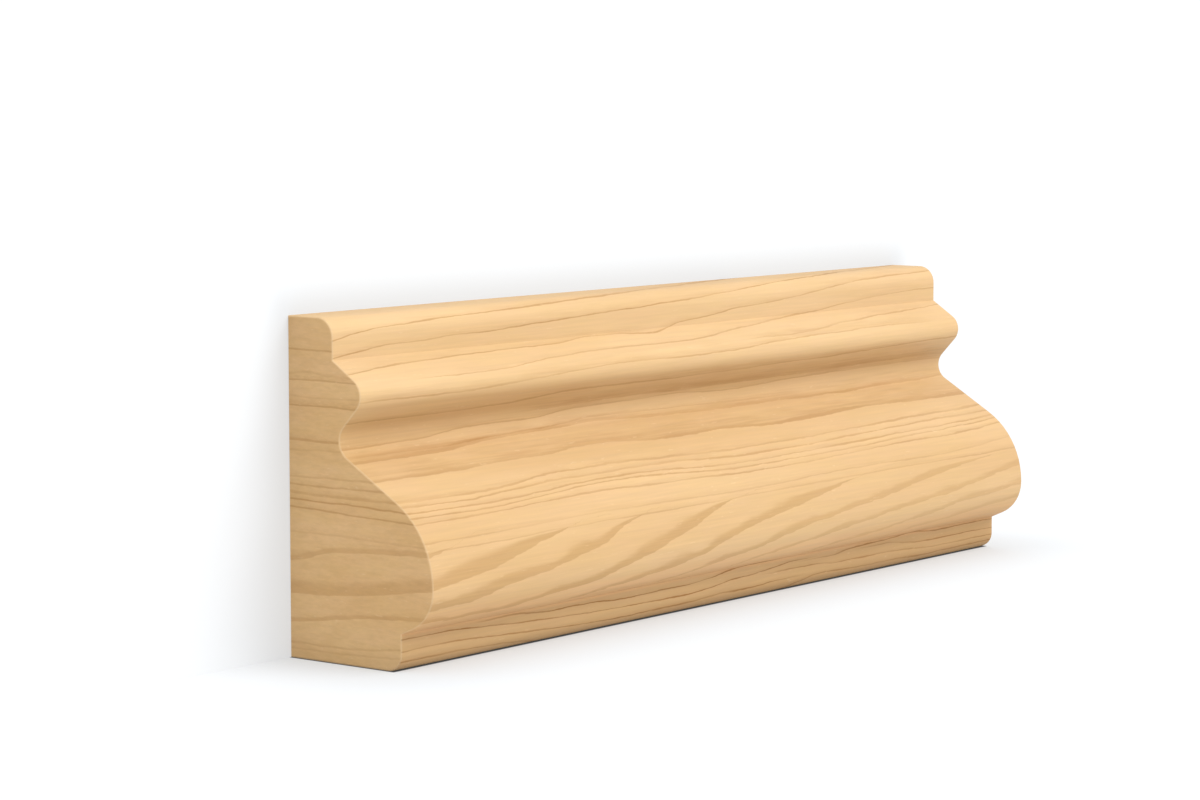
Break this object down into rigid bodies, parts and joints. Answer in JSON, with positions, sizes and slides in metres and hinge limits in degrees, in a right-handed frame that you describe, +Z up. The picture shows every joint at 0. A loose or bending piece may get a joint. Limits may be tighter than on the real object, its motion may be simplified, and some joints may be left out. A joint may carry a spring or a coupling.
{
  "type": "base cap moulding",
  "caption": "Short length of clear pine base cap moulding: flat back and seat, round-edged top band, bead and cove, and an ogee slope running into a full torus over an undercut base band.",
  "frame": {"origin": "middle of the box on the floor, at mid-length and mid-depth of the moulding, at the height of its seat", "axes": "+X along the length, +Y out of the flat back towards the wall, +Z up from the seat to the top band; the shaped front faces -Y"},
  "size_m": [0.161, 0.0274, 0.05],
  "materials": {
    "pine": "planed and lightly sanded bare pine, satin"
  },
  "bodies": {
    "root": {"base_cap_moulding": "pine"}
  },
  "joints": []
}
